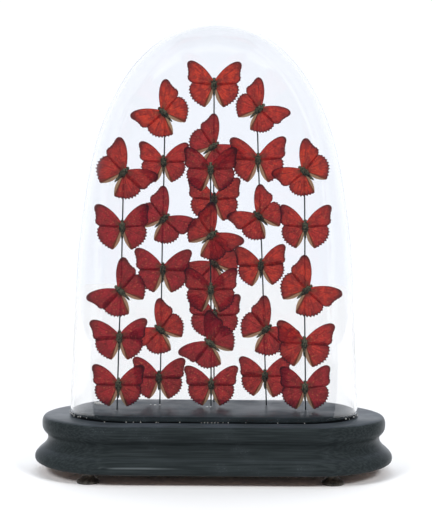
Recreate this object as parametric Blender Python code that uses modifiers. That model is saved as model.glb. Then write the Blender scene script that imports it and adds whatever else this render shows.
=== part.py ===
"""Red butterflies on upright wires, standing under an oval glass dome on a moulded wooden base.

Metres, +Z up. The origin is on the ground, under the middle of the base. +X runs along the long side
of the oval and -Y is the front, which the butterflies face.
"""

from math import cos, pi, radians, sin

import bmesh
import bpy
from mathutils import Matrix, Vector

MM = 0.001
GAP = 0.3 * MM

# The plan: straight sides with half-round ends. A tier stands out from the platform by an end offset,
# and by a little less on the long sides.
PLATFORM_HALF_LENGTH = 144.7 * MM
PLATFORM_HALF_DEPTH = 60.0 * MM
SIDE_SHARE = 0.8
PLAN_POINTS = 40

# Heights above the ground.
FOOT_HEIGHT = 10.2 * MM
BASE_BOTTOM = FOOT_HEIGHT + GAP
BASE_TOP = 56.5 * MM
PLATFORM_BOTTOM = BASE_TOP + GAP
PLATFORM_TOP = 62.5 * MM
PLATFORM_EDGE = 0.8 * MM

# The moulding from the top edge down, as end offset and height.
MOULDING = [
    (25.0 * MM, BASE_TOP),
    (28.4 * MM, 55.3 * MM),
    (30.3 * MM, 52.0 * MM),
    (30.8 * MM, 48.4 * MM),
    (30.3 * MM, 44.2 * MM),
    (28.3 * MM, 40.8 * MM),
    (26.0 * MM, 38.4 * MM),
    (24.9 * MM, 34.9 * MM),
    (25.7 * MM, 31.0 * MM),
    (28.8 * MM, 26.8 * MM),
    (33.4 * MM, 22.8 * MM),
    (36.9 * MM, 18.8 * MM),
    (37.9 * MM, 15.2 * MM),
    (36.9 * MM, 12.2 * MM),
    (34.2 * MM, BASE_BOTTOM),
]

# The feet: a stem that flares to a thin disc, as radius and height.
FOOT_PROFILE = [(5.6, 10.2), (5.2, 8.2), (6.0, 6.0), (9.4, 3.2), (11.0, 1.8), (10.6, 0.0)]
FOOT_SIDES = 14
FEET_LEFT = -121.0 * MM
FEET_RIGHT = 115.0 * MM
FEET_FRONT = 69.0 * MM

# The dome's outside: height above the base, half-length and half-depth of its section.
GLASS = 2.4 * MM
DOME_FOOT = BASE_TOP + GAP
DOME_TOP = 458.0 * MM
DOME_SECTIONS = [
    (0.0, 147.5, 62.9),
    (82.0, 144.0, 62.2),
    (164.0, 140.3, 61.3),
    (222.0, 133.5, 60.2),
    (270.0, 124.8, 58.6),
    (304.0, 114.2, 56.0),
    (332.0, 101.2, 51.8),
    (355.0, 86.6, 45.6),
    (374.0, 69.0, 37.2),
    (388.0, 49.5, 27.0),
    (397.0, 27.0, 14.8),
]

WIRE_RADIUS = 0.7 * MM
WIRE_PAST_BODY = 3.0 * MM

# Each wire's foot and top, as X and Y, then its butterflies from the top down: sideways place, height
# and turn in degrees (clockwise as seen from the front). The letter names the column.
COLUMNS = {
    "A": {
        "wire": "wire_A",
        "foot": (-98, -18),
        "top": (-93, -11),
        "insects": {
            "A1": (-93.5, 302.5, 43),
            "A2": (-94, 247, 0),
            "A3": (-95, 182.5, -46),
            "A4": (-96, 135.5, 0),
            "A5": (-96.5, 87.5, 0),
        },
    },
    "B": {
        "wire": "wire_B",
        "foot": (-57, 25),
        "top": (-53.5, 25),
        "insects": {
            "B1": (-54.5, 368.5, -44),
            "B2": (-54.5, 316.5, 0),
            "B3": (-54, 257, 47),
            "B4": (-54.5, 203.5, 0),
            "B5": (-56.5, 140.5, -50),
            "B6": (-58, 90, 0),
        },
    },
    "C back": {
        "wire": "wire_C_back",
        "foot": (0, 38),
        "top": (-2, 31),
        "insects": {
            "C1": (-2, 399, 0),
            "C2": (-3, 334, 52),
            "C4": (-1, 278, 0),
            "C6": (0, 210, -48),
            "C8": (0, 155, 0),
        },
    },
    "C front": {
        "wire": "wire_C_front",
        "foot": (-3, 12),
        "top": (-5, 12),
        "insects": {
            "C3": (-5, 308, 0),
            "C5": (-4, 240, 50),
            "C7": (-4, 183, 0),
            "C9": (-4, 128, -50),
            "C10": (-3, 85, 0),
        },
    },
    "D": {
        "wire": "wire_D",
        "foot": (55, 19),
        "top": (43, 19),
        "insects": {
            "D1": (45, 372, 46),
            "D2": (44.5, 319, 0),
            "D3": (46, 260, -45),
            "D4": (48, 208.5, 0),
            "D5": (53.5, 142, 49),
            "D6": (53, 93, 0),
        },
    },
    "E": {
        "wire": "wire_E",
        "foot": (93.5, -10),
        "top": (90.5, -10),
        "insects": {
            "E1": (90.5, 305, -48),
            "E2": (91.5, 248.5, 0),
            "E3": (93, 184.5, 48),
            "E4": (91.5, 130, 0),
            "E5": (92.5, 85, 0),
        },
    },
}

# The right pair of wings seen from above, in millimetres from the middle of the thorax, head upward:
# leading edge, tip, outer edge with the notch between the wings, tail point, inner edge.
WING_OUTLINE = [
    (0.6, 5.2),
    (9.5, 16.8),
    (16.8, 22.7),
    (22.2, 24.9),
    (26.3, 23.8),
    (26.1, 16.6),
    (26.6, 6.0),
    (22.9, 2.2),
    (24.2, -3.6),
    (22.9, -11.8),
    (14.8, -20.2),
    (9.8, -22.1),
    (4.6, -11.8),
    (0.6, -4.4),
]
WING_THICKNESS = 0.5 * MM
WING_LIFT = radians(6)

# The body along its length: place, half-width and half-thickness, from the head to the tail.
BODY_RINGS = [
    (6.4, 1.6, 1.5),
    (1.6, 3.2, 2.3),
    (-7.0, 1.5, 1.4),
]
BODY_HEAD = 8.6
BODY_TAIL = -13.0
BODY_SIDES = 6
BODY_BACK = 2.3 * MM
WING_PLANE = -0.6 * MM

PARTS = "butterfly_dome"


def clear_scene():
    for obj in list(bpy.data.objects):
        bpy.data.objects.remove(obj)


def parts_collection():
    parts = bpy.data.collections.new(PARTS)
    bpy.context.scene.collection.children.link(parts)
    return parts


def material(name, colour, roughness, metallic=0.0, alpha=1.0):
    made = bpy.data.materials.new(name)
    made.use_nodes = True
    shader = made.node_tree.nodes["Principled BSDF"]
    shader.inputs["Base Color"].default_value = (*colour, 1.0)
    shader.inputs["Roughness"].default_value = roughness
    shader.inputs["Metallic"].default_value = metallic
    shader.inputs["Alpha"].default_value = alpha
    made.diffuse_color = (*colour, alpha)
    return made


def add_object(name, mesh, finish, parts):
    obj = bpy.data.objects.new(name, mesh)
    mesh.materials.clear()
    mesh.materials.append(finish)
    parts.objects.link(obj)
    return obj


def plan_ring(half_length, half_depth, height, roundness=0.0):
    """Points round a section, starting at +X and going round by equal angles.

    The outline has half-round ends joined by straight sides. A roundness of 1 makes it an ellipse, and
    values between blend the two.
    """
    straight = half_length - half_depth
    ring = []
    for step in range(PLAN_POINTS):
        angle = 2 * pi * (step + 0.5) / PLAN_POINTS
        side = 1 if cos(angle) > 0 else -1
        oval_x = half_length * cos(angle)
        x = side * straight + half_depth * cos(angle)
        x = x + (oval_x - x) * roundness
        ring.append(Vector((x, half_depth * sin(angle), height)))
    return ring


def tier_ring(offset, height):
    half_length = PLATFORM_HALF_LENGTH + offset
    half_depth = PLATFORM_HALF_DEPTH + SIDE_SHARE * offset
    return plan_ring(half_length, half_depth, height)


def loft(name, rings, close_top=True, close_bottom=True):
    """A mesh through closed rings listed from the top down, each with the same number of points."""
    shape = bmesh.new()
    rows = [[shape.verts.new(point) for point in ring] for ring in rings]
    for upper, lower in zip(rows, rows[1:]):
        for step in range(len(upper)):
            after = (step + 1) % len(upper)
            shape.faces.new((upper[step], lower[step], lower[after], upper[after]))
    if close_top:
        shape.faces.new(rows[0])
    if close_bottom:
        shape.faces.new(list(reversed(rows[-1])))
    shape.normal_update()
    mesh = bpy.data.meshes.new(name)
    shape.to_mesh(mesh)
    shape.free()
    return mesh


def shade_round(mesh, angle=40):
    mesh.shade_smooth()
    mesh.set_sharp_from_angle(angle=radians(angle))


def make_base(finish, parts):
    mesh = loft("base", [tier_ring(offset, height) for offset, height in MOULDING])
    shade_round(mesh)
    return add_object("base", mesh, finish, parts)


def make_platform(finish, parts):
    profile = [
        (-PLATFORM_EDGE, PLATFORM_TOP),
        (0.0, PLATFORM_TOP - PLATFORM_EDGE),
        (0.0, PLATFORM_BOTTOM),
    ]
    mesh = loft("platform", [tier_ring(offset, height) for offset, height in profile])
    shade_round(mesh, 30)
    return add_object("platform", mesh, finish, parts)


def make_foot(name, x, y, finish, parts):
    """A turned foot: its profile spun round the upright axis."""
    mesh = bpy.data.meshes.new(name)
    points = [(0.0, 0.0, FOOT_PROFILE[0][1] * MM)]
    points += [(radius * MM, 0.0, height * MM) for radius, height in FOOT_PROFILE]
    points += [(0.0, 0.0, FOOT_PROFILE[-1][1] * MM)]
    edges = [(step, step + 1) for step in range(len(points) - 1)]
    mesh.from_pydata(points, edges, [])
    obj = add_object(name, mesh, finish, parts)
    obj.location = (x, y, 0.0)
    spin = obj.modifiers.new("turned", "SCREW")
    spin.steps = FOOT_SIDES
    spin.render_steps = FOOT_SIDES
    spin.use_merge_vertices = True
    spin.merge_threshold = 0.0001
    spin.use_smooth_shade = True
    return obj


def make_feet(finish, parts):
    for depth, y in (("front", -FEET_FRONT), ("back", FEET_FRONT)):
        make_foot(f"foot_{depth}_left", FEET_LEFT, y, finish, parts)
        make_foot(f"foot_{depth}_right", FEET_RIGHT, y, finish, parts)


def make_dome(finish, parts):
    """The glass: an open skin through its sections, thickened inward."""
    rings = []
    for rise, half_length, half_depth in reversed(DOME_SECTIONS):
        height = rise * MM
        roundness = (height / (DOME_TOP - DOME_FOOT)) ** 2
        rings.append(plan_ring(half_length * MM, half_depth * MM, DOME_FOOT + height, roundness))
    mesh = loft("glass_dome", rings, close_top=False, close_bottom=False)
    shape = bmesh.new()
    shape.from_mesh(mesh)
    crown = shape.verts.new((0.0, 0.0, DOME_TOP))
    shape.verts.ensure_lookup_table()
    for step in range(PLAN_POINTS):
        after = (step + 1) % PLAN_POINTS
        shape.faces.new((crown, shape.verts[step], shape.verts[after]))
    shape.normal_update()
    shape.to_mesh(mesh)
    shape.free()
    shade_round(mesh, 60)
    obj = add_object("glass_dome", mesh, finish, parts)
    wall = obj.modifiers.new("glass wall", "SOLIDIFY")
    wall.thickness = GLASS
    wall.offset = -1.0
    wall.use_even_offset = True
    return obj


def column_ends(column):
    """The foot and the top of a column's wire."""
    insects = column["insects"].values()
    foot = Vector((column["foot"][0] * MM, column["foot"][1] * MM, PLATFORM_TOP + GAP))
    top_height = max(height for _, height, _ in insects) * MM + WIRE_PAST_BODY
    top = Vector((column["top"][0] * MM, column["top"][1] * MM, top_height))
    return foot, top


def make_wire(column, finish, parts):
    foot, top = column_ends(column)
    curve = bpy.data.curves.new(column["wire"], "CURVE")
    curve.dimensions = "3D"
    curve.bevel_depth = WIRE_RADIUS
    curve.bevel_resolution = 2
    curve.use_fill_caps = True
    line = curve.splines.new("POLY")
    line.points.add(1)
    line.points[0].co = (*foot, 1.0)
    line.points[1].co = (*top, 1.0)
    return add_object(column["wire"], curve, finish, parts)


def mesh_from_curve(curve, name):
    """The solid of a 2D curve as a mesh with its caps welded."""
    holder = bpy.data.objects.new(name, curve)
    bpy.context.scene.collection.objects.link(holder)
    graph = bpy.context.evaluated_depsgraph_get()
    mesh = bpy.data.meshes.new_from_object(holder.evaluated_get(graph))
    shape = bmesh.new()
    shape.from_mesh(mesh)
    bmesh.ops.remove_doubles(shape, verts=shape.verts, dist=0.00001)
    shape.to_mesh(mesh)
    shape.free()
    bpy.data.objects.remove(holder)
    return mesh


def wing_plate(side):
    """One side's pair of wings as a thin plate, upright in XZ, lifted about the body."""
    curve = bpy.data.curves.new("wings", "CURVE")
    curve.dimensions = "2D"
    curve.fill_mode = "BOTH"
    curve.extrude = WING_THICKNESS / 2
    outline = curve.splines.new("POLY")
    outline.points.add(len(WING_OUTLINE) - 1)
    for point, (x, y) in zip(outline.points, WING_OUTLINE):
        point.co = (side * x * MM, y * MM, 0.0, 1.0)
    outline.use_cyclic_u = True
    mesh = mesh_from_curve(curve, "wings")
    stand = Matrix.Rotation(radians(90), 4, "X")
    lift = Matrix.Rotation(-side * WING_LIFT, 4, "Z")
    mesh.transform(Matrix.Translation((0.0, WING_PLANE, 0.0)) @ lift @ stand)
    return mesh


def body_mesh():
    """Head, thorax and abdomen: rings along the body, closed by a point at each end."""
    rings = []
    for place, half_width, half_thick in BODY_RINGS:
        ring = []
        for step in range(BODY_SIDES):
            angle = 2 * pi * (step + 0.5) / BODY_SIDES
            ring.append(Vector((half_width * cos(angle), half_thick * sin(angle), place)) * MM)
        rings.append(ring)
    mesh = loft("body", rings, close_top=False, close_bottom=False)
    shape = bmesh.new()
    shape.from_mesh(mesh)
    head = shape.verts.new((0.0, 0.0, BODY_HEAD * MM))
    tail = shape.verts.new((0.0, 0.0, BODY_TAIL * MM))
    shape.verts.ensure_lookup_table()
    last = BODY_SIDES * (len(BODY_RINGS) - 1)
    for step in range(BODY_SIDES):
        after = (step + 1) % BODY_SIDES
        shape.faces.new((head, shape.verts[step], shape.verts[after]))
        shape.faces.new((tail, shape.verts[last + after], shape.verts[last + step]))
    shape.normal_update()
    shape.to_mesh(mesh)
    shape.free()
    return mesh


def butterfly_mesh():
    """The wings fused to the body, as one closed mesh that every specimen shares."""
    body = bpy.data.objects.new("body", body_mesh())
    bpy.context.scene.collection.objects.link(body)
    helpers = [body]
    for side in (-1, 1):
        wing = bpy.data.objects.new("wing", wing_plate(side))
        bpy.context.scene.collection.objects.link(wing)
        helpers.append(wing)
        join = body.modifiers.new("fuse", "BOOLEAN")
        join.operation = "UNION"
        join.object = wing
    graph = bpy.context.evaluated_depsgraph_get()
    mesh = bpy.data.meshes.new_from_object(body.evaluated_get(graph))
    for helper in helpers:
        bpy.data.objects.remove(helper)
    mesh.name = "butterfly"
    return mesh


def make_insects(column, mesh, parts):
    """Each specimen in front of its wire, its back a hair's gap from it."""
    foot, top = column_ends(column)
    for number, (x, height, turn) in column["insects"].items():
        share = (height * MM - foot.z) / (top.z - foot.z)
        wire_y = foot.y + (top.y - foot.y) * share
        obj = bpy.data.objects.new(f"butterfly_{number}", mesh)
        obj.location = (x * MM, wire_y - WIRE_RADIUS - GAP - BODY_BACK, height * MM)
        obj.rotation_euler = (0.0, radians(turn), 0.0)
        parts.objects.link(obj)


def build():
    clear_scene()
    parts = parts_collection()
    wood = material("ebonised_wood", (0.022, 0.025, 0.028), 0.32)
    bronze = material("foot_bronze", (0.060, 0.052, 0.036), 0.45, 0.8)
    glass = material("glass", (0.95, 0.97, 1.0), 0.02, 0.0, 0.15)
    steel = material("wire_steel", (0.09, 0.10, 0.11), 0.35, 0.9)
    wings = material("red_wings", (0.42, 0.03, 0.03), 0.6)
    make_base(wood, parts)
    make_platform(wood, parts)
    make_feet(bronze, parts)
    make_dome(glass, parts)
    insect = butterfly_mesh()
    insect.materials.clear()
    insect.materials.append(wings)
    for column in COLUMNS.values():
        make_wire(column, steel, parts)
        make_insects(column, insect, parts)


build()
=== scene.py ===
# %% [markdown]
# # Red butterflies under an oval glass dome
# A dark moulded base stands on four small feet. A platform on it carries six upright wires, and 32 red
# butterflies are fixed to the wires, facing the front. An oval glass dome covers them.
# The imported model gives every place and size. This script dresses it for a photograph.

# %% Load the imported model
import math

import bmesh
import bpy
import numpy as np
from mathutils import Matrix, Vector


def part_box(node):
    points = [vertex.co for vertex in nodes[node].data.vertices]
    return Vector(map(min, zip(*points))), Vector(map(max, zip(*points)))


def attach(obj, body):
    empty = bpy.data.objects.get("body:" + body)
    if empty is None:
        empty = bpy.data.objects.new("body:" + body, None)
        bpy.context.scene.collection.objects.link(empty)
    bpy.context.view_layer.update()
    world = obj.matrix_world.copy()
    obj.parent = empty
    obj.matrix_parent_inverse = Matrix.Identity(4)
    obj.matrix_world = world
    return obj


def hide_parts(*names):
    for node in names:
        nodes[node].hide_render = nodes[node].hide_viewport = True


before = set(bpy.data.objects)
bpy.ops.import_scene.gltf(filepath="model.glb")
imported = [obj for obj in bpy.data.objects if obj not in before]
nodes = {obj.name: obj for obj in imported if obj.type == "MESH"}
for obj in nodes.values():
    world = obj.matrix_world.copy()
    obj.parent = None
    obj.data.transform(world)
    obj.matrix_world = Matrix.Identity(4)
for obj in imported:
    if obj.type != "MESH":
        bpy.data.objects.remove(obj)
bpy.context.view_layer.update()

MM = 0.001

# %% [markdown]
# ## Camera
# The photographer stood about a metre away with a level camera at half the dome's height, so upright
# lines stay upright. The picture leans by a third of a degree. A small shift centres the object.

# %% Camera
PHOTO_WIDTH = 432
PHOTO_HEIGHT = 514
PIXELS_PER_RADIAN = 1048.5
CAMERA_DISTANCE = 1080 * MM
CAMERA_HEIGHT = 224.5 * MM
LEAN = 0.0063
MIDDLE_COLUMN = 214.9
HORIZON_ROW = 250.5
SENSOR = 36.0

camera_data = bpy.data.cameras.new("camera")
camera_data.sensor_width = SENSOR
camera_data.lens = PIXELS_PER_RADIAN / PHOTO_HEIGHT * SENSOR
camera_data.shift_x = (PHOTO_WIDTH / 2 - MIDDLE_COLUMN) / PHOTO_HEIGHT
camera_data.shift_y = (HORIZON_ROW - PHOTO_HEIGHT / 2) / PHOTO_HEIGHT
camera = bpy.data.objects.new("camera", camera_data)
bpy.context.scene.collection.objects.link(camera)
camera.location = (0.0, -CAMERA_DISTANCE, CAMERA_HEIGHT)
camera.rotation_euler = (math.pi / 2, -LEAN, 0.0)
bpy.context.scene.camera = camera
print("lens in mm", round(camera_data.lens, 1))

# %% [markdown]
# ## Colours and nodes
# Colours are written as they look on a screen. Shaders work in linear light, so one function turns
# them. Another adds a shader node with its settings and links. The rest are short names for what most
# of the materials need, and keep each recipe short.

# %% Colour and node helpers
def linear(colour):
    """Screen value s becomes s / 12.92 below 0.04045, else ((s + 0.055) / 1.055) to the power 2.4."""
    screen = np.array([int(colour[place:place + 2], 16) for place in (1, 3, 5)]) / 255
    light = np.where(screen <= 0.04045, screen / 12.92, ((screen + 0.055) / 1.055) ** 2.4)
    return (*light.tolist(), 1.0)


def node(tree, kind, inputs=None, **settings):
    """Adds a node, sets its options, and sets or links its inputs."""
    made = tree.nodes.new("ShaderNode" + kind)
    for name, value in settings.items():
        setattr(made, name, value)
    for name, value in (inputs or {}).items():
        if isinstance(value, bpy.types.NodeSocket):
            tree.links.new(value, made.inputs[name])
        else:
            made.inputs[name].default_value = value
    return made


def start_material(name):
    """An empty material with its node tree."""
    made = bpy.data.materials.new(name)
    made.use_nodes = True
    made.node_tree.nodes.clear()
    return made, made.node_tree


def blend(tree, amount, first, second):
    """The colour between two colours, by amount from 0 to 1."""
    mixed = node(tree, "Mix", {0: amount, 6: first, 7: second}, data_type="RGBA")
    return mixed.outputs[2]


def steps(tree, value, low, high, start=0.0, end=1.0):
    """Rises smoothly from start to end while value goes from low to high."""
    inputs = {"Value": value, "From Min": low, "From Max": high, "To Min": start, "To Max": end}
    return node(tree, "MapRange", inputs, interpolation_type="SMOOTHSTEP").outputs["Result"]


def maths(tree, kind, first, second=0.0):
    """One step of arithmetic. Kind is Blender's name for it, such as ADD or SUBTRACT."""
    return node(tree, "Math", {0: first, 1: second}, operation=kind).outputs[0]


def times(tree, *values):
    """All the values multiplied together."""
    product = values[0]
    for value in values[1:]:
        product = maths(tree, "MULTIPLY", product, value)
    return product


def object_place(tree):
    """Where a point is on the object, in metres."""
    return node(tree, "TexCoord").outputs["Object"]


def axes(tree, vector):
    """The x, y and z of a vector."""
    return node(tree, "SeparateXYZ", {"Vector": vector}).outputs[:3]


def noise(tree, place, grain, detail):
    """Blender's noise with spots about as wide as grain, in millimetres."""
    inputs = {"Vector": place, "Scale": 1 / (grain * MM), "Detail": detail}
    return node(tree, "TexNoise", inputs).outputs["Fac"]


def layered(tree, colour, layers):
    """Lays colours over the first one. Each layer is its amount and its colour."""
    for amount, layer in layers:
        colour = blend(tree, amount, colour, linear(layer))
    return colour


def cover(tree, inputs):
    """Ends a material with one Principled shader and its inputs."""
    surface = node(tree, "BsdfPrincipled", inputs)
    node(tree, "OutputMaterial", {"Surface": surface.outputs[0]})


# %% [markdown]
# ## Surfaces from numbers
# Every new piece is a grid of points worked out by a formula. A grid may close round on itself, and
# points that meet, at a pole or a seam, are welded at the end.

# %% Mesh helpers
WELD = 0.002 * MM


def grid_faces(rows, columns, closed):
    """The four corners of each cell, for a grid stored row by row."""
    across = columns if closed else columns - 1
    row, column = np.meshgrid(np.arange(rows - 1), np.arange(across), indexing="ij")
    after = (column + 1) % columns
    corners = [row * columns + column, (row + 1) * columns + column]
    corners += [(row + 1) * columns + after, row * columns + after]
    return np.stack(corners, axis=-1).reshape(-1, 4)


def patch(points, closed=False, slot=0, coords=None, flip=False):
    """One grid of points as a part of a mesh: its points, faces, material slot and pattern places."""
    rows, columns = points.shape[:2]
    faces = grid_faces(rows, columns, closed)
    if flip:
        faces = faces[:, ::-1]
    if coords is None:
        coords = np.zeros((rows, columns, 2))
    return points.reshape(-1, 3), faces, slot, coords.reshape(-1, 2)


def add_piece(name, patches, materials, replaced):
    """Joins patches into one welded, smooth mesh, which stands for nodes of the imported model."""
    starts = np.cumsum([0] + [len(part[0]) for part in patches])
    faces = []
    slots = []
    for part, start in zip(patches, starts):
        faces += (part[1] + start).tolist()
        slots += [part[2]] * len(part[1])
    places = np.concatenate([part[3] for part in patches])
    mesh = bpy.data.meshes.new(name)
    mesh.from_pydata(np.concatenate([part[0] for part in patches]).tolist(), [], faces)
    mesh.polygons.foreach_set("material_index", slots)
    corner = np.zeros(len(mesh.loops), np.int32)
    mesh.loops.foreach_get("vertex_index", corner)
    layer = mesh.uv_layers.new(name="places")
    layer.data.foreach_set("uv", places[corner].ravel())
    for material in materials:
        mesh.materials.append(material)
    shape = bmesh.new()
    shape.from_mesh(mesh)
    bmesh.ops.remove_doubles(shape, verts=shape.verts, dist=WELD)
    bmesh.ops.dissolve_degenerate(shape, edges=shape.edges, dist=WELD / 4)
    shape.to_mesh(mesh)
    shape.free()
    mesh.shade_smooth()
    piece = bpy.data.objects.new(name, mesh)
    bpy.context.scene.collection.objects.link(piece)
    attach(piece, "root")
    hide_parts(*replaced)


def smooth_line(points, count):
    """A Catmull-Rom curve through the points, read at equal steps of its length.

    Between two points it is the cubic whose slope at each is half the step between its neighbours.
    """
    points = np.array(points, float)
    before = np.vstack([2 * points[0] - points[1], points[:-2]])
    after = np.vstack([points[2:], 2 * points[-1] - points[-2]])
    first, last = points[:-1], points[1:]
    share = np.linspace(0, 1, 24, endpoint=False)[:, None, None]
    cubic = 2 * first + (last - before) * share
    cubic = cubic + (2 * before - 5 * first + 4 * last - after) * share**2
    cubic = cubic + (3 * first - before - 3 * last + after) * share**3
    dense = np.vstack([np.swapaxes(cubic / 2, 0, 1).reshape(-1, points.shape[1]), points[-1]])
    length = np.concatenate([[0], np.cumsum(np.linalg.norm(np.diff(dense, axis=0), axis=1))])
    wanted = np.linspace(0, length[-1], count)
    return np.stack([np.interp(wanted, length, column) for column in dense.T], axis=-1)


# %% [markdown]
# ## Floor and light
# The photograph is a catalogue picture: white behind, white below, and a soft shadow under the base.
# The object stands near the front of a white table. The room behind the camera is dim, so neither the
# polish nor the front of the glass has anything bright to mirror. Two soft boxes stand at the front,
# left and right, above the camera. A white ceiling leans in from behind. The base hides it from the
# floor in front, which leaves a pale shadow there.

# %% Room
ROOM_DIM = "#555b64"
ROOM_WHITE = "#f3f7ff"
WHITE_STRENGTH = 1.18
WHITE_FROM = 0.08
WHITE_FULL = 0.78

world = bpy.data.worlds.new("white studio")
bpy.context.scene.world = world
world.use_nodes = True
room = world.node_tree
room.nodes.clear()
direction = node(room, "TexCoord").outputs["Generated"]
toward = axes(room, direction)[1]
brightness = steps(room, toward, WHITE_FROM, WHITE_FULL)
room_colour = blend(room, brightness, linear(ROOM_DIM), linear(ROOM_WHITE))
sky = node(room, "Background", {"Color": room_colour, "Strength": WHITE_STRENGTH})
node(room, "OutputWorld", {"Surface": sky.outputs["Background"]})
bpy.context.scene.view_settings.view_transform = "Standard"
print("room is", ROOM_DIM, "in front and", ROOM_WHITE, "behind the object")

# %% Soft lights
# Each light: its strength, and in degrees its spread, its lean from straight above and its turn.
LIGHTS = {
    "soft box at front left": (1.55, 18, 48, -50),
    "soft box at front right": (1.55, 18, 48, 50),
    "white ceiling": (1.25, 70, -25, 0),
}

for name, (strength, spread, lean, turn) in LIGHTS.items():
    lamp_data = bpy.data.lights.new(name, "SUN")
    lamp_data.energy = strength
    lamp_data.angle = math.radians(spread)
    lamp = bpy.data.objects.new(name, lamp_data)
    lamp.rotation_euler = (math.radians(lean), 0.0, math.radians(turn))
    lamp.visible_glossy = False
    lamp.visible_transmission = False
    bpy.context.scene.collection.objects.link(lamp)
print("lights", len(LIGHTS))

# %% Floor
FLOOR_HALF = 6.0
FLOOR_FRONT = -0.24
# Further back the paper is painted grey: a painted shade that evens out the light on the far floor.
PAPER_PAINTED_SHADE = "#e7e7e7"
PAINTED_SHADE_FROM = 0.05
PAINTED_SHADE_FULL = 0.45

floor_paint, tree = start_material("matt_white_studio_paper")
place = object_place(tree)
paper = blend(tree, noise(tree, place, 1.1, 2.0), linear("#fbfbfb"), linear("#ffffff"))
# Painted shade: the paper turns greyer towards the back.
back = steps(tree, axes(tree, place)[1], PAINTED_SHADE_FROM, PAINTED_SHADE_FULL)
paper = blend(tree, back, paper, linear(PAPER_PAINTED_SHADE))
cover(tree, {"Base Color": paper, "Roughness": 0.9, "Specular IOR Level": 0.2})

rows = ((-FLOOR_HALF, FLOOR_HALF, FLOOR_FRONT), (FLOOR_HALF, -FLOOR_HALF, FLOOR_HALF))
floor_corners = [(x, y, 0.0) for left, right, y in rows for x in (left, right)]
floor_mesh = bpy.data.meshes.new("floor")
floor_mesh.from_pydata(floor_corners, [], [(0, 1, 2, 3)])
floor_mesh.materials.append(floor_paint)
floor = bpy.data.objects.new("floor", floor_mesh)
bpy.context.scene.collection.objects.link(floor)
print("floor in m", 2 * FLOOR_HALF, "wide,", FLOOR_HALF - FLOOR_FRONT, "deep")

# %% [markdown]
# ## Ebonised wood
# The base is fruitwood stained black and polished. The polish is old: it is satin, faintly streaked
# along the grain, and scuffed in places. Faces that look up are painted a little bluish grey, partly
# dust and partly a painted sheen of the white room. A pale line along the lower swelling is a painted
# highlight. Wood is an insulator with an ordinary IOR of 1.5, so its bright ends are reflections of the
# white room.

# %% Wood material
GRAIN_LENGTH = 45.0
GRAIN_WIDTH = 1.6
# A painted highlight, a pale line along the lower swelling at the left: its height and reach, each
# as soft and full limits.
HIGHLIGHT_LINE_LOW = (17.0, 17.8)
HIGHLIGHT_LINE_HIGH = (19.2, 18.4)
HIGHLIGHT_LINE_LEFT = (-116.0, -98.0)
HIGHLIGHT_LINE_RIGHT = (-20.0, -66.0)
CHIP_EDGE = 0.4
# In front of this place the wood mirrors only a share of what it does at the middle.
DULL_FRONT = -58.0
DULL_SHARE = 0.12


def between(tree, value, limits, end=1.0):
    """Rises from 0 to end between two limits, given in millimetres."""
    return steps(tree, value, limits[0] * MM, limits[1] * MM, 0.0, end)


def chipped(tree, place, spot, radius):
    """Is 1 within a ragged patch round a spot, given in millimetres, and 0 outside it."""
    spot = tuple(value * MM for value in spot)
    away = node(tree, "VectorMath", {0: place, 1: spot}, operation="DISTANCE").outputs["Value"]
    ragged = times(tree, noise(tree, place, 1.5, 2.0), 1.6 * radius * MM)
    return between(tree, maths(tree, "SUBTRACT", away, ragged), (CHIP_EDGE, 0.0))


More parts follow.
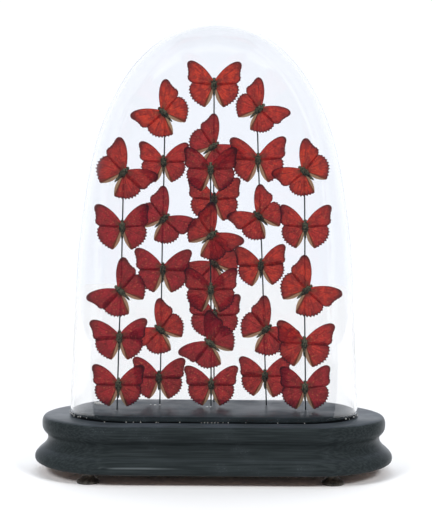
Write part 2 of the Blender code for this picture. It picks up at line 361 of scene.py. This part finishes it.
def ebonised_wood(name, dust_and_sheen, polish, chips=()):
    """Black-stained wood under an old satin polish.

    Dust and sheen is how grey the upper faces are painted: partly real dust, partly a painted sheen of
    the white room. Polish is how much the wood mirrors. Chips are places and radii where the black has
    gone and the pale wood shows.
    """
    made, tree = start_material(name)
    place = object_place(tree)
    x, y, z = axes(tree, place)
    up = axes(tree, node(tree, "NewGeometry").outputs["Normal"])[2]
    scale = (1 / (GRAIN_LENGTH * MM), 1 / (GRAIN_WIDTH * MM), 1 / (GRAIN_WIDTH * MM))
    stretched = node(tree, "Mapping", {"Vector": place, "Scale": scale}).outputs["Vector"]
    grain = node(tree, "TexNoise", {"Vector": stretched, "Scale": 1.0, "Detail": 3.0}).outputs["Fac"]
    broad = noise(tree, place, 38, 4.0)
    fine = noise(tree, place, 1.1, 2.0)

    worn = steps(tree, broad, 0.52, 0.78, 0.0, 0.5)
    scuffs = times(tree, steps(tree, fine, 0.62, 0.70), worn)
    # Painted highlight: a pale line along the widest part of the lower swelling, strongest at the left.
    low, high = between(tree, z, HIGHLIGHT_LINE_LOW), between(tree, z, HIGHLIGHT_LINE_HIGH)
    left, right = between(tree, x, HIGHLIGHT_LINE_LEFT), between(tree, x, HIGHLIGHT_LINE_RIGHT, 0.6)
    painted_highlight_line = times(tree, low, high, left, right, steps(tree, grain, 0.3, 0.6))
    underside = steps(tree, up, -0.9, -0.99)
    patchy = steps(tree, broad, 0.3, 0.7, 0.45, 1.0)
    # Upward faces painted bluish grey: partly dust, partly a painted sheen of the white room.
    dust_and_painted_sheen = times(tree, steps(tree, up, 0.6, 1.0, 0.0, dust_and_sheen), patchy)

    stained = blend(tree, steps(tree, grain, 0.3, 0.75), linear("#282d2e"), linear("#373d3e"))
    # Wear and scuffs, then the pale painted highlight line along the lower swelling.
    stained = layered(tree, stained, [(worn, "#40464a"), (scuffs, "#868c8e"), (painted_highlight_line, "#6f7577")])
    stained = layered(tree, stained, [(chipped(tree, place, *chip), "#b4b2a8") for chip in chips])
    # Bare wood below, then the bluish grey of dust and painted sheen on upward faces.
    stained = layered(tree, stained, [(underside, "#8f7a6c"), (dust_and_painted_sheen, "#8a93a4")])
    relief = node(tree, "Bump", {"Height": grain, "Strength": 0.25, "Distance": 0.12 * MM})
    inputs = {
        "Base Color": stained,
        "Roughness": steps(tree, broad, 0.3, 0.75, 0.3, 0.5),
        "IOR": 1.5,
        "Specular IOR Level": steps(tree, y, DULL_FRONT * MM, 0.0, DULL_SHARE * polish, polish),
        "Specular Tint": linear("#d6e0ff"),
        "Normal": relief.outputs["Normal"],
    }
    cover(tree, inputs)
    return made


BASE_CHIPS = [((167.0, -24.0, 38.0), 2.2), ((-87.0, -86.0, 33.0), 1.0), ((131.0, -90.0, 15.0), 1.0)]
base_wood = ebonised_wood("ebonised_fruitwood_old_satin_polish", 0.13, 0.17, BASE_CHIPS)
platform_wood = ebonised_wood("ebonised_platform_rubbed", 0.05, 0.075)
print("woods", base_wood.name, platform_wood.name)

# %% [markdown]
# ## The oval tiers
# The maker cut each tier as a board with straight sides and half-round ends, and ran a moulding round
# it. So a tier is one profile carried along that outline. The same outline, drawn further in or out,
# gives every ring, and a ring has enough points for its ends to look round. The faces above and below
# run in to a core line near the middle.

# %% Outline and moulding
END_POINTS = 72
SIDE_POINTS = 30
PLATFORM_HALF_LENGTH = 144.7 * MM
PLATFORM_HALF_DEPTH = 60.0 * MM
SIDE_SHARE = 0.8
CORE = -75.0

half_turn = np.linspace(-math.pi / 2, math.pi / 2, END_POINTS, endpoint=False)
side_run = np.linspace(1, -1, SIDE_POINTS, endpoint=False)
ring_shift = np.concatenate([np.ones(END_POINTS), side_run, -np.ones(END_POINTS), -side_run])
ring_cos = np.concatenate([np.cos(half_turn), np.zeros(SIDE_POINTS)] * 2)
ring_cos[END_POINTS + SIDE_POINTS:] *= -1
ring_sin = np.concatenate([np.sin(half_turn), np.ones(SIDE_POINTS)] * 2)
ring_sin[END_POINTS + SIDE_POINTS:] *= -1


def rings(half_length, half_depth, height, roundness=0.0):
    """One closed ring for each entry of the three arrays.

    x = shift * (length - depth) + cos * depth and y = sin * depth. Roundness draws x toward the ellipse
    x = cos * length.
    """
    length, depth, height, roundness = np.broadcast_arrays(half_length, half_depth, height, roundness)
    length, depth, height, roundness = (v[:, None] for v in (length, depth, height, roundness))
    x = ring_shift * (length - depth) + ring_cos * depth
    x = x + (ring_cos * length - x) * roundness
    return np.stack([x, ring_sin * depth, height + 0 * x], axis=-1)


def tier(profile):
    """Rings for a profile of end offset and height, in millimetres. The sides take a share of it."""
    offset, height = np.array(profile).T * MM
    return rings(PLATFORM_HALF_LENGTH + offset, PLATFORM_HALF_DEPTH + SIDE_SHARE * offset, height)


print("points in a ring", len(ring_cos))

# %% Base
BASE_TOP = 56.5
BASE_BOTTOM = 10.5
MOULDING = [
    (26.6, BASE_TOP), (28.9, 55.4), (30.5, 52.2), (30.8, 48.4), (30.3, 44.2), (28.3, 40.8),
    (26.0, 38.4), (24.9, 34.9), (25.7, 31.0), (28.8, 26.8), (33.4, 22.8), (36.9, 18.8),
    (37.9, 15.2), (36.9, 12.2), (34.2, BASE_BOTTOM),
]

edge = smooth_line(MOULDING, 90)
edge[:, 1] = np.clip(edge[:, 1], BASE_BOTTOM, BASE_TOP)
top_face = [(offset, BASE_TOP) for offset in (CORE, -10.0, 10.0, 22.0)]
under_face = [(offset, BASE_BOTTOM) for offset in (28.0, 0.0, CORE)]
base_points = tier(top_face + edge.tolist() + under_face)
base_patch = patch(base_points, closed=True)
add_piece("moulded_base", [base_patch], [base_wood], ["base"])
print("base points", base_points.shape[:2])

# %% [markdown]
# Old glue stands in small pale beads on the platform, at the left end and where some wires go in. A
# bead is a low dome: z = height * cos(a) at the distance radius * sin(a), with a wavy outline.

# %% Platform and glue
EDGE_ROUND = 0.8
PLATFORM_TOP = 62.5
PLATFORM_BOTTOM = 56.8
# Each bead: its place in x and y, its radius and its height.
GLUE = [
    (-121.0, 22.0, 2.8, 2.6), (-125.0, 25.0, 1.8, 2.2), (-117.5, 20.0, 1.4, 1.0),
    (-61.5, 18.0, 1.3, 0.6), (-66.0, 21.0, 0.9, 0.5), (-56.5, 17.5, 1.0, 0.6),
    (-7.0, 6.5, 1.2, 0.5), (-3.5, 5.5, 0.8, 0.6),
]

arc = np.linspace(0, math.pi / 2, 7)
across = EDGE_ROUND * (np.sin(arc) - 1)
upward = PLATFORM_TOP + EDGE_ROUND * (np.cos(arc) - 1)
rounded = np.stack([across, upward], axis=-1).tolist()
platform_profile = [(CORE, PLATFORM_TOP), (-20.0, PLATFORM_TOP)] + rounded
platform_profile += [(0.0, 59.0), (0.0, PLATFORM_BOTTOM), (CORE, PLATFORM_BOTTOM)]
platform_points = tier(platform_profile)

glue, tree = start_material("dried_hide_glue")
mottle = steps(tree, noise(tree, object_place(tree), 0.8, 3.0), 0.4, 0.6)
pale = blend(tree, mottle, linear("#aaa69c"), linear("#fbfaf6"))
cover(tree, {"Base Color": pale, "Roughness": 0.35})


def bead(x, y, radius, height):
    """A low dome on the platform, closed underneath by the platform itself."""
    round_it = np.linspace(0, 2 * math.pi, 20, endpoint=False)
    down = np.linspace(0, math.pi / 2, 7)[:, None]
    reach = radius * np.sin(down) * (1 + 0.18 * np.sin(3 * round_it + x))
    rise = PLATFORM_TOP + height * np.cos(down) + 0 * round_it
    return np.stack([x + reach * np.cos(round_it), y + reach * np.sin(round_it), rise], axis=-1) * MM


platform_patches = [patch(platform_points, closed=True)]
platform_patches += [patch(bead(*place_size), closed=True, slot=1) for place_size in GLUE]
add_piece("inner_platform", platform_patches, [platform_wood, glue], ["platform"])
print("glue beads", len(GLUE))

# %% [markdown]
# ## Feet
# Four turned brass feet, gone brown. Each is a profile spun round an upright axis.

# %% Feet
FOOT_PROFILE = [
    (0.0, 10.2), (5.4, 10.2), (5.6, 9.7), (5.1, 8.4), (5.4, 6.9), (6.8, 5.1), (9.2, 3.4), (10.8, 2.4),
    (11.0, 1.5), (10.7, 0.4), (10.2, 0.0), (0.0, 0.0),
]
FOOT_TURNS = 64

dark_brass, tree = start_material("turned_brass_gone_brown")
mottle = noise(tree, object_place(tree), 3.0, 5.0)
tarnish = blend(tree, steps(tree, mottle, 0.35, 0.7), linear("#3c3a36"), linear("#66625a"))
dull = steps(tree, mottle, 0.3, 0.7, 0.35, 0.6)
cover(tree, {"Base Color": tarnish, "Metallic": 0.6, "Roughness": dull})

turn = np.linspace(0, 2 * math.pi, FOOT_TURNS, endpoint=False)
radius, height = np.hsplit(np.array(FOOT_PROFILE) * MM, 2)
feet = ("foot_front_left", "foot_front_right", "foot_back_left", "foot_back_right")
for foot in feet:
    low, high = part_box(foot)
    middle = (low + high) / 2
    x, y = middle.x + radius * np.cos(turn), middle.y + radius * np.sin(turn)
    spun = patch(np.stack([x, y, height + 0 * turn], axis=-1), closed=True)
    add_piece("turned_" + foot, [spun], [dark_brass], [foot])
print("feet", len(feet))

# %% [markdown]
# ## Wires
# Hand-straightened steel wire, dull grey, with a slight bow left in it. A circle is carried along a
# line that wanders from side to side by a few tenths of a millimetre.

# %% Wires
WIRE_RADIUS = 0.72 * MM
WIRE_STEPS = 60
BOW = 0.35 * MM

wire_steel, tree = start_material("drawn_steel_wire_dull")
tone = noise(tree, object_place(tree), 4.0, 3.0)
grey = blend(tree, tone, linear("#262d30"), linear("#4c5558"))
cover(tree, {"Base Color": grey, "Metallic": 0.7, "Roughness": 0.42})


def wire_line(name):
    """The wire's middle line: straight between the ends of the CAD wire, with a slow bow added.

    At the share t of its height, x moves by bow * sin(7 t + start) * sin(pi t). Each wire has its own
    start, from its place on the platform.
    """
    points = np.array([vertex.co for vertex in nodes[name].data.vertices])
    height = points[:, 2]
    foot = points[height < height.min() + 0.5 * MM].mean(0)
    top = points[height > height.max() - 0.5 * MM].mean(0)
    t = np.linspace(0, 1, WIRE_STEPS)
    line = foot + (top - foot) * t[:, None]
    line[:, 0] += BOW * np.sin(t * 7 + foot[0] * 90) * np.sin(t * math.pi)
    return line


circle = np.linspace(0, 2 * math.pi, 12, endpoint=False)
wires = sorted(name for name in nodes if name.startswith("wire"))
for name in wires:
    line = wire_line(name)
    line = np.vstack([line[:1], line, line[-1:]])
    thick = np.full(len(line), WIRE_RADIUS)
    thick[[0, -1]] = 0.0
    x = line[:, :1] + thick[:, None] * np.cos(circle)
    y = line[:, 1:2] + thick[:, None] * np.sin(circle)
    tube = patch(np.stack([x, y, line[:, 2:] + 0 * x], axis=-1), closed=True, flip=True)
    add_piece("upright_" + name, [tube], [wire_steel], [name])
print("wires", len(wires))

# %% [markdown]
# ## Glass dome
# Blown glass about 2.4 mm thick. It is an open bell with a ground rim. The sections are stadium shaped
# at the foot and turn into ellipses towards the crown. Clear glass bends light, takes almost none and
# mirrors a few hundredths of it. Lamp light passes it by a plain see-through stand-in. Small pale
# specks in the glue's colour sit on the outside of its foot: they are painted glints of the rim.

# %% Glass
# The wavy ground band at the foot fades in between these two heights, in millimetres.
GROUND_FROM = 60.5
GROUND_FULL = 57.5

clear_glass, tree = start_material("clear_blown_glass")
place = object_place(tree)
ground = steps(tree, axes(tree, place)[2], GROUND_FROM * MM, GROUND_FULL * MM)
ground = times(tree, ground, noise(tree, place, 1.6, 2.0))
waves = maths(tree, "ADD", noise(tree, place, 70, 1.0), ground)
relief = node(tree, "Bump", {"Height": waves, "Strength": 0.15, "Distance": 1.0 * MM})
inputs = {
    "Base Color": linear("#fdfdfd"),
    "Roughness": 0.0,
    "IOR": 1.5,
    "Transmission Weight": 1.0,
    "Normal": relief.outputs["Normal"],
}
glass = node(tree, "BsdfPrincipled", inputs)
passing = node(tree, "BsdfTransparent", {"Color": linear("#f3f6f9")})
ray = node(tree, "LightPath").outputs["Is Shadow Ray"]
mixed = node(tree, "MixShader", {0: ray, 1: glass.outputs[0], 2: passing.outputs[0]})
node(tree, "OutputMaterial", {"Surface": mixed.outputs[0]})

ground_rim, tree = start_material("ground_glass_rim")
tone = noise(tree, object_place(tree), 2.0, 2.0)
frost = blend(tree, tone, linear("#b9c2c6"), linear("#f4f6f7"))
cover(tree, {"Base Color": frost, "Roughness": 0.5, "IOR": 1.5})
print("finishes", clear_glass.name, ground_rim.name)


# %% Dome
GLASS_WALL = 2.4
DOME_FOOT = 56.8
DOME_RISE = 401.2
# Each section: its height above the foot, its half length and its half depth.
DOME_SECTIONS = [
    (0.0, 147.5, 62.9), (82.0, 144.0, 62.2), (164.0, 140.3, 61.3), (222.0, 133.5, 60.2),
    (270.0, 124.8, 58.6), (304.0, 114.2, 56.0), (332.0, 101.2, 51.8), (355.0, 86.6, 45.6),
    (374.0, 69.0, 37.2), (388.0, 49.5, 27.0), (397.0, 27.0, 14.8), (DOME_RISE, 0.0, 0.0),
]
# Painted glints: pale specks along the front of the foot, by their place in x, in millimetres.
FRONT_GLINT_SPECKS = [-106, -85, -78, -71, -56, -54, -33, -12, -9, -6, -2, 1, 4, 9, 14, 31, 62, 88]
# At the left and right end: the angles round it where glint specks lie, in degrees, and how many there
# are.
END_GLINT_SPECKS = {-1: (-5, 52, 16), 1: (-30, 45, 12)}


def dome_rings(thinner):
    """The bell's rings, drawn in all over by thinner, which is in millimetres.

    At the share t of its height a section is drawn t^2 of the way from a stadium to an ellipse.
    """
    rise, length, depth = smooth_line(DOME_SECTIONS, 110).T
    t = np.clip(rise / DOME_RISE, 0, 1)
    rise = DOME_FOOT + rise - thinner * t**6
    length = np.maximum(length - thinner, 0)
    depth = np.maximum(depth - thinner, 0)
    return rings(length * MM, depth * MM, rise * MM, t**2)


def glint_speck(x, y, z, radius):
    """A small pale ball in the glue's colour, a painted glint, as circles from pole to pole."""
    down = np.linspace(0, math.pi, 7)[:, None]
    round_it = np.linspace(0, 2 * math.pi, 10, endpoint=False)
    reach = np.sin(down)
    ball = [reach * np.cos(round_it), reach * np.sin(round_it), np.cos(down) + 0 * round_it]
    return (np.array([x, y, z]) + radius * np.stack(ball, axis=-1)) * MM


def glint_speck_places(rng):
    """Along the outside of the foot: round both ends by angle, and along the front by its own list."""
    length, depth = DOME_SECTIONS[0][1:]
    ends = [(side, angle) for side, reach in END_GLINT_SPECKS.items() for angle in rng.uniform(*reach)]
    for side, angle in ends:
        angle = math.radians(angle)
        x = side * (length - depth + depth * math.cos(angle))
        yield x, -depth * math.sin(angle), DOME_FOOT + rng.uniform(0.5, 3.0), rng.uniform(0.3, 0.8)
    for x in FRONT_GLINT_SPECKS:
        yield x, -depth - 0.3, DOME_FOOT + 0.6, rng.uniform(0.3, 0.6)


outer = dome_rings(0.0)[::-1]
inner = dome_rings(GLASS_WALL)
walls = [patch(wall, closed=True) for wall in (outer, inner)]
rim = patch(np.stack([outer[-1], inner[0]]), closed=True, slot=1)
# Pale specks in the glue finish, standing in as painted glints of the rim.
glint_specks = [patch(glint_speck(*spot), closed=True, slot=2) for spot in glint_speck_places(np.random.default_rng(3))]
finishes = [clear_glass, ground_rim, glue]
add_piece("blown_glass_dome", walls + [rim] + glint_specks, finishes, ["glass_dome"])
print("dome points", outer.shape[:2], inner.shape[:2], "glint_specks", len(glint_specks))

# %% [markdown]
# ## Butterflies
# Each specimen is set with its wings spread and its upper side to the front. A wing is a thin skin that
# fans out from its hinge, so its surface is P(u, v) = hinge + u * (margin(v) - hinge): u runs outward
# and v runs round the margin. The veins run outward too, so a pattern drawn on u and v follows them.
# The margin is a curve through a few points, hollowed a little between the ends of the veins.

# %% Wing shapes
FORE_HINGE = (0.8, 2.6)
FORE_MARGIN = [
    (0.6, 5.4), (4.2, 11.0), (9.0, 16.8), (14.4, 21.4), (19.4, 24.2), (23.4, 24.9), (26.0, 23.4),
    (26.9, 20.4), (26.1, 16.0), (25.9, 11.6), (26.6, 7.6), (25.4, 4.8), (22.2, 2.4), (14.5, 1.0),
    (7.0, 0.0), (0.8, -0.4),
]
HIND_HINGE = (0.8, 0.2)
HIND_MARGIN = [
    (0.8, 1.6), (9.0, 2.6), (17.0, 3.0), (22.0, 2.0), (24.4, -1.2), (24.9, -5.6), (23.6, -10.8),
    (20.8, -15.2), (16.6, -18.6), (12.8, -21.0), (10.4, -22.0), (9.1, -22.2), (8.2, -21.4),
    (5.7, -18.8), (3.4, -15.2), (1.9, -11.6), (1.2, -7.8), (0.8, -3.8),
]
MARGIN_POINTS = 150
OUTWARD_POINTS = 10
LIFT = math.radians(6)
CAMBER = 0.9
PLEAT = 0.10


def wing(hinge, margin, side, behind, scallop, span, veins, spread):
    """One wing in the specimen's own millimetres: x to its side, z toward the head, -y to the front.

    The margin is hollowed by scallop * (sin(pi * veins * t)^2 - 1/2), where t runs from 0 to 1 over its
    span of v. The wing is then turned about its hinge by the angle spread.
    """
    hinge = np.array(hinge)
    u = np.linspace(0, 1, OUTWARD_POINTS)[:, None]
    v = np.linspace(0, 1, MARGIN_POINTS)
    t = np.clip((v - span[0]) / (span[1] - span[0]), 0, 1)
    dent = (np.sin(math.pi * veins * t) ** 2 - 0.5) * np.sin(math.pi * t) ** 0.3
    outward = smooth_line(margin, MARGIN_POINTS) - hinge
    outward = outward * (1 - scallop * dent / np.linalg.norm(outward, axis=1))[:, None]
    flat = u[..., None] * outward
    cos, sin = math.cos(spread), math.sin(spread)
    x = hinge[0] + flat[..., 0] * cos - flat[..., 1] * sin
    z = hinge[1] + flat[..., 0] * sin + flat[..., 1] * cos
    camber = CAMBER * np.sin(u * math.pi) * np.sin(v * math.pi)
    pleats = PLEAT * u * np.cos(2 * math.pi * (veins + 3) * v)
    y = behind - np.tan(LIFT) * np.abs(x) - camber - pleats
    return np.stack([side * x, y, z], axis=-1), np.stack([u + 0 * v, v + 0 * u], axis=-1)


print("margins of", len(FORE_MARGIN), "and", len(HIND_MARGIN), "points")

# %% [markdown]
# The body is a spindle in three parts: a round head, a thick chest where the wings join, and a thin
# dried abdomen. Short hairs stand on the chest. Each hair is a slim pyramid, placed at random.

# %% Body and hair
BODY_LINE = [
    (8.4, 0.0), (8.1, 0.9), (7.2, 1.7), (6.0, 1.7), (5.2, 2.0), (4.2, 2.8), (2.4, 3.3), (0.0, 3.4),
    (-2.6, 2.9), (-4.8, 1.9), (-6.4, 1.4), (-9.0, 1.3), (-11.6, 0.8), (-13.0, 0.0),
]
FLATNESS = 0.66
CHEST = (-4.6, 5.2)
HAIRS = 420
HAIR_LENGTH = 1.2
HAIR_ROOT = 0.12
HAIR_LEAN = 0.7


def body_surface():
    """Circles along the body, flattened from front to back."""
    place, radius = smooth_line(BODY_LINE, 40).T
    radius = np.maximum(radius, 0)
    angle = np.linspace(0, 2 * math.pi, 18, endpoint=False)
    x = radius[:, None] * np.cos(angle)
    y = FLATNESS * radius[:, None] * np.sin(angle)
    return np.stack([x, y, place[:, None] + 0 * x], axis=-1)


def hairs(rng):
    """Slim pyramids: three root points round a spot on the chest, and a tip leaning to the tail."""
    place = rng.uniform(*CHEST, HAIRS)
    line = np.array(BODY_LINE)[::-1]
    radius = np.interp(place, line[:, 0], line[:, 1]) * 0.94
    angle = rng.uniform(0, 2 * math.pi, HAIRS)
    outward = np.stack([np.cos(angle), FLATNESS * np.sin(angle), 0 * angle], axis=-1)
    root = outward * radius[:, None]
    root[:, 2] = place
    lean = outward + rng.normal(0, 0.3, (HAIRS, 3)) + np.array([0.0, 0.0, -HAIR_LEAN])
    lean /= np.linalg.norm(lean, axis=1)[:, None]
    tip = root + lean * HAIR_LENGTH * rng.uniform(0.6, 1.2, (HAIRS, 1))
    across = np.stack([-np.sin(angle), np.cos(angle), 0 * angle], axis=-1) * HAIR_ROOT
    along = np.array([0.0, 0.0, HAIR_ROOT])
    points = np.stack([root - across, root + across, root + along, tip], axis=1)
    faces = np.arange(HAIRS)[:, None, None] * 4 + np.array([[0, 1, 3], [1, 2, 3], [2, 0, 3], [0, 2, 1]])
    return points.reshape(-1, 3), faces.reshape(-1, 3)


print("body points", body_surface().shape[:2], "and", HAIRS, "hairs")

# %% [markdown]
# Wing scales are matt and let some light through, so where two wings overlap against the white they
# look darker. The red is painted lighter and more scarlet near the top and darker crimson lower down,
# as painted light from above. Each wing has a thin dark purple margin and dark dusting at the hinge. A
# forewing has a black tip. A hindwing's inner edge is bare and beige beside a brown streak. The marks
# go on one after another, like washes of paint.

# %% Marks near the margins
FORE_TIP = 0.42
HIND_FOLD = 0.71


def fore_marks(tree, out, round_margin, each):
    """A forewing's pale seam and black tip, as layers, and how dark its margin is."""
    seam = steps(tree, round_margin, 0.88, 0.97, 0.0, 0.5)
    away = maths(tree, "ABSOLUTE", maths(tree, "SUBTRACT", round_margin, FORE_TIP))
    near = steps(tree, away, 0.03, 0.13, 1.0, 0.0)
    black = steps(tree, each, 0.35, 0.65, 0.15, 0.9)
    tip = times(tree, steps(tree, out, 0.80, 0.95), near, black)
    return [(seam, "#d8683e"), (tip, "#241018")], steps(tree, round_margin, 0.70, 0.78, 0.9, 0.35)


def hind_marks(tree, round_margin):
    """A hindwing's brown streak and bare fold, as layers, and how dark its margin is."""
    fold = steps(tree, round_margin, HIND_FOLD - 0.04, HIND_FOLD, 0.0, 0.85)
    bare = steps(tree, round_margin, HIND_FOLD + 0.01, HIND_FOLD + 0.04, 0.0, 0.95)
    dark = steps(tree, round_margin, HIND_FOLD - 0.02, HIND_FOLD + 0.02, 0.9, 0.0)
    dark = times(tree, dark, steps(tree, round_margin, 0.20, 0.32))
    return [(fold, "#4e3018"), (bare, "#b8a27e")], dark


# %% Wing scales
SEE_THROUGH = 0.11
BACK_LIT = 0.56
VEINS = 11.0


def wing_scales(name, hind, warmth):
    """Red scales. The pattern's place runs outward in x and round the margin in y."""
    made, tree = start_material(name)
    places = node(tree, "UVMap", uv_map="places").outputs["UV"]
    out, round_margin, _ = axes(tree, places)
    where = object_place(tree)
    across, _, height = axes(tree, where)
    each = noise(tree, where, 75, 1.0)
    cloud = noise(tree, where, 6, 4.0)
    speck = noise(tree, where, 1.6, 3.0)
    streak = node(tree, "Mapping", {"Vector": places, "Scale": (2.0, 26.0, 1.0)}).outputs["Vector"]
    streak = node(tree, "TexNoise", {"Vector": streak, "Scale": 1.0, "Detail": 2.0}).outputs["Fac"]
    veins = maths(tree, "PINGPONG", times(tree, round_margin, VEINS), 0.5)
    rim = steps(tree, out, 0.6, 0.98, 0.0, 0.5)
    if hind:
        marks, dark = hind_marks(tree, round_margin)
    else:
        marks, dark = fore_marks(tree, out, round_margin, each)
        rim = times(tree, rim, steps(tree, round_margin, 0.68, 0.80, 1.0, 0.1))
    edge = times(tree, steps(tree, out, 0.91, 0.96), dark)

    # Painted light: the red is lighter and more scarlet higher up and darker lower down. It is also a
    # little more scarlet towards the right, and each specimen differs at random.
    painted_light_and_warmth = steps(tree, height, 120 * MM, 420 * MM, 0.05 + warmth, 0.55 + warmth)
    painted_light_and_warmth = maths(tree, "ADD", painted_light_and_warmth, steps(tree, across, -90 * MM, 90 * MM, 0.0, 0.2))
    painted_light_and_warmth = maths(tree, "ADD", painted_light_and_warmth, steps(tree, each, 0.35, 0.65, -0.1, 0.1))
    red = blend(tree, painted_light_and_warmth, linear("#ba2236"), linear("#fb4a2e"))
    red = layered(tree, red, [
        (steps(tree, streak, 0.46, 0.64, 0.0, 0.55), "#7c1524"),
        (steps(tree, cloud, 0.42, 0.62, 0.0, 0.55), "#6c1424"),
        (steps(tree, speck, 0.60, 0.70, 0.0, 0.45), "#e88a54"),
        (steps(tree, speck, 0.42, 0.34, 0.0, 0.45), "#4a0f1a"),
        (rim, "#5c1428"),
        (steps(tree, veins, 0.0, 0.07, 0.4, 0.0), "#6a1420"),
        (steps(tree, out, 0.06, 0.32, 0.9, 0.0), "#503826"),
        *marks,
        (edge, "#451523"),
    ])
    relief = node(tree, "Bump", {"Height": veins, "Strength": 0.3, "Distance": 0.15 * MM})
    inputs = {
        "Base Color": red,
        "Roughness": 0.6,
        "Specular IOR Level": 0.1,
        "Normal": relief.outputs["Normal"],
    }
    matt = node(tree, "BsdfPrincipled", inputs)
    through = node(tree, "BsdfTranslucent", {"Color": red})
    body = node(tree, "MixShader", {0: BACK_LIT, 1: matt.outputs[0], 2: through.outputs[0]})
    clear = node(tree, "BsdfTransparent", {"Color": linear("#e8705c")})
    mixed = node(tree, "MixShader", {0: SEE_THROUGH, 1: body.outputs[0], 2: clear.outputs[0]})
    node(tree, "OutputMaterial", {"Surface": mixed.outputs[0]})
    return made


# %% Wing and body finishes
WARMTH = {"crimson": -0.3, "red": 0.0, "scarlet": 0.3}
wing_finishes = {}
for shade, warmth in WARMTH.items():
    fore_scales = wing_scales(shade + "_forewing_scales", False, warmth)
    hind_scales = wing_scales(shade + "_hindwing_scales", True, warmth)
    wing_finishes[shade] = [fore_scales, hind_scales]

insect_fur, tree = start_material("olive_brown_insect_fur")
tone = noise(tree, object_place(tree), 1.5, 3.0)
fur = blend(tree, steps(tree, tone, 0.35, 0.65), linear("#2e2d22"), linear("#78745c"))
cover(tree, {"Base Color": fur, "Roughness": 0.8, "Specular IOR Level": 0.2})
print("wing finishes", 2 * len(wing_finishes), "and", insect_fur.name)

# %% [markdown]
# No two were set alike. Some were turned on the wire. Their wings droop or rise by a few degrees from
# the standard setting, and the sizes differ. Some are fresher and more scarlet, others darker crimson.

# %% Set the butterflies on their wires
TURNS = {
    "A": (43, 0, -46, 0, 0),
    "B": (-44, 0, 47, 0, -50, 0),
    "C": (0, 52, 0, 0, 50, -48, 0, 0, -50, 0),
    "D": (46, 0, -45, 0, 49, 0),
    "E": (-48, 0, 48, 0, 0),
}
# Droop in degrees of the left and right forewing and the left and right hindwing, then the size.
USUAL = (3, 3, 0, 0, 1.0)
SETTING = {
    "A1": (2, 7, 0, 0, 1.04), "A2": (3, 1, 0, 0, 1.0), "A3": (9, 4, -3, -2, 1.0),
    "A4": (14, 9, 3, 2, 0.97), "A5": (4, 5, -1, 0, 0.94), "B1": (5, 0, 2, 0, 1.01),
    "B2": (3, 6, 1, 1, 0.93), "B3": (1, 2, 0, 0, 1.0), "B4": (6, 9, 1, 2, 1.04),
    "B5": (3, 1, 1, 0, 0.97), "B6": (4, 6, -2, -2, 0.98), "C1": (1, 3, 0, 0, 1.05),
    "C9": (10, 0, 0, 0, 1.0), "C10": (9, 8, 0, 0, 0.96), "D1": (0, 4, 0, 0, 0.95),
    "D2": (6, 3, -2, -2, 1.05), "D3": (-2, -1, -7, 3, 0.97), "D4": (8, 1, 0, -9, 0.95),
    "D5": (5, 1, 0, 0, 1.04), "D6": (6, 4, -8, 1, 0.96), "E1": (-1, 2, 0, 0, 0.97),
    "E2": (2, 2, -1, -1, 0.96), "E3": (5, 0, 2, -1, 1.04), "E4": (3, 10, -2, 3, 1.03),
    "E5": (3, -1, 0, -1, 0.95),
}
SCARLET = ("B1", "B5", "C1", "D4", "E1", "E3", "E4")
CRIMSON = ("A2", "A3", "A4", "B3", "B4", "C2", "C3", "C8", "C9", "E5")
# Each kind: its hinge and margin, how far back it lies, how deep its hollows are, where they are and
# how many.
FORE = (FORE_HINGE, FORE_MARGIN, -0.6, 0.6, (0.46, 0.70), 6)
HIND = (HIND_HINGE, HIND_MARGIN, 0.0, 1.5, (0.30, 0.70), 9)
# The back of the chest, from the middle of the specimen, in millimetres.
CHEST_BACK = (0.0, 2.3, 1.6)


def specimen(number, degrees, rng):
    """All the patches of one butterfly, turned, with its chest where the CAD solid has it.

    The solid's hindmost point is the back of its chest, so that point gives the place to set it.
    """
    left, right, hind_left, hind_right, size = SETTING.get(number, USUAL)
    parts = []
    for side, droops in ((-1, (left, hind_left)), (1, (right, hind_right))):
        for kind, (hinge, margin, behind, scallop, span, veins) in enumerate((FORE, HIND)):
            spread = -math.radians(droops[kind])
            skin, places = wing(hinge, margin, side, behind, scallop, span, veins, spread)
            parts.append(patch(skin * size, slot=kind, coords=places, flip=side > 0))
    parts.append(patch(body_surface(), closed=True, slot=2))
    hair_points, hair_faces = hairs(rng)
    parts.append((hair_points, hair_faces, 2, np.zeros((len(hair_points), 2))))
    cos, sin = math.cos(math.radians(degrees)), math.sin(math.radians(degrees))
    turning = np.array([[cos, 0, sin], [0, 1, 0], [-sin, 0, cos]])
    solid = np.array([vertex.co for vertex in nodes["butterfly_" + number].data.vertices])
    chest = solid[solid[:, 1] > solid[:, 1].max() - 0.05 * MM].mean(0)
    shift = chest - turning @ np.array(CHEST_BACK) * MM
    return [(part[0] @ turning.T * MM + shift, *part[1:]) for part in parts]


for column, turns in TURNS.items():
    for place, degrees in enumerate(turns, start=1):
        number = f"{column}{place}"
        rng = np.random.default_rng(ord(column) * 100 + place)
        shade = "scarlet" if number in SCARLET else "crimson" if number in CRIMSON else "red"
        finishes = wing_finishes[shade] + [insect_fur]
        patches = specimen(number, degrees, rng)
        add_piece("specimen_" + number, patches, finishes, ["butterfly_" + number])
print("butterflies", sum(len(turns) for turns in TURNS.values()))
